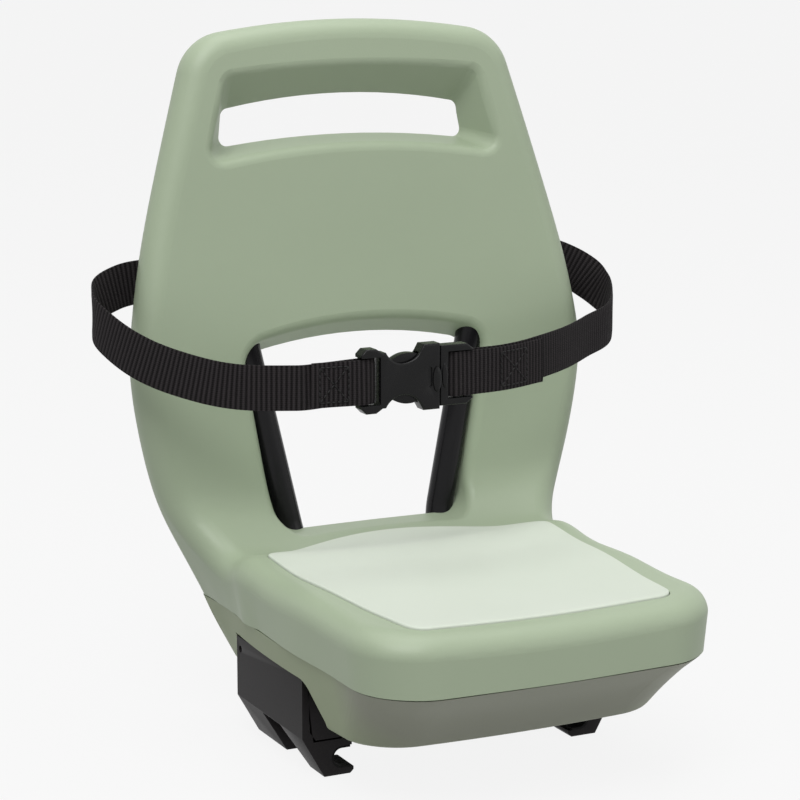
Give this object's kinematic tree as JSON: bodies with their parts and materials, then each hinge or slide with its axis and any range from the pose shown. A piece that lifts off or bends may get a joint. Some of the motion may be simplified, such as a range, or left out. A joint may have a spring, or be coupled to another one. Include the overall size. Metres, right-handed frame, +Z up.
{
  "type": "child bike seat",
  "caption": "Child seat for a bicycle's rear carrier: moulded back and seat on a bent steel tube, cushion, lap belt with side-release buckle, and sliding rail clamps underneath",
  "frame": {"origin": "on the ground plane under the feet of the rail clamps, at the middle of the overall box", "axes": "+Z up, +Y to the rear of the bicycle, so the child faces -Y; +X to the right as seen from in front"},
  "size_m": [0.3326, 0.2721, 0.4],
  "materials": {
    "shell_plastic": "satin moulded plastic, grey green",
    "cushion_foam": "soft closed-cell foam, pale green",
    "base_plastic": "satin moulded plastic, darker grey green",
    "black_steel": "black powder coat",
    "bare_steel": "zinc plated",
    "webbing": "ribbed black webbing",
    "buckle_plastic": "semi-gloss black plastic",
    "clamp_plastic": "matt black plastic",
    "liner_rubber": "matt black rubber"
  },
  "bodies": {
    "seat": {"seat_shell": "shell_plastic", "seat_pad": "cushion_foam", "seat_base": "base_plastic", "back_frame": "black_steel", "mounting_plate": "bare_steel", "tube_saddles": "bare_steel", "saddle_screws": "bare_steel", "base_screws": "bare_steel", "lap_belt": "webbing", "buckle_housing": "buckle_plastic", "belt_guides": "clamp_plastic", "guide_screws": "bare_steel"},
    "tongue": {"buckle_tongue": "buckle_plastic"},
    "left_clamp_set": {"left_clamp": "clamp_plastic", "left_rail_liner": "liner_rubber", "left_clamp_bolts": "bare_steel", "left_clamp_washers": "bare_steel", "left_clamp_nuts": "bare_steel"},
    "right_clamp_set": {"right_clamp": "clamp_plastic", "right_rail_liner": "liner_rubber", "right_clamp_bolts": "bare_steel", "right_clamp_washers": "bare_steel", "right_clamp_nuts": "bare_steel"}
  },
  "joints": [
    {"name": "buckle_release", "type": "slide", "parent": "seat", "child": "tongue", "axis": [1, 0, 0], "range_m": [0, 0.034], "deforming": ["lap_belt"]},
    {"name": "left_clamp_slide", "type": "slide", "parent": "seat", "child": "left_clamp_set", "axis": [-1, 0, 0], "range_m": [-0.006, 0.01]},
    {"name": "right_clamp_slide", "type": "slide", "parent": "seat", "child": "right_clamp_set", "axis": [1, 0, 0], "range_m": [-0.006, 0.01]}
  ]
}
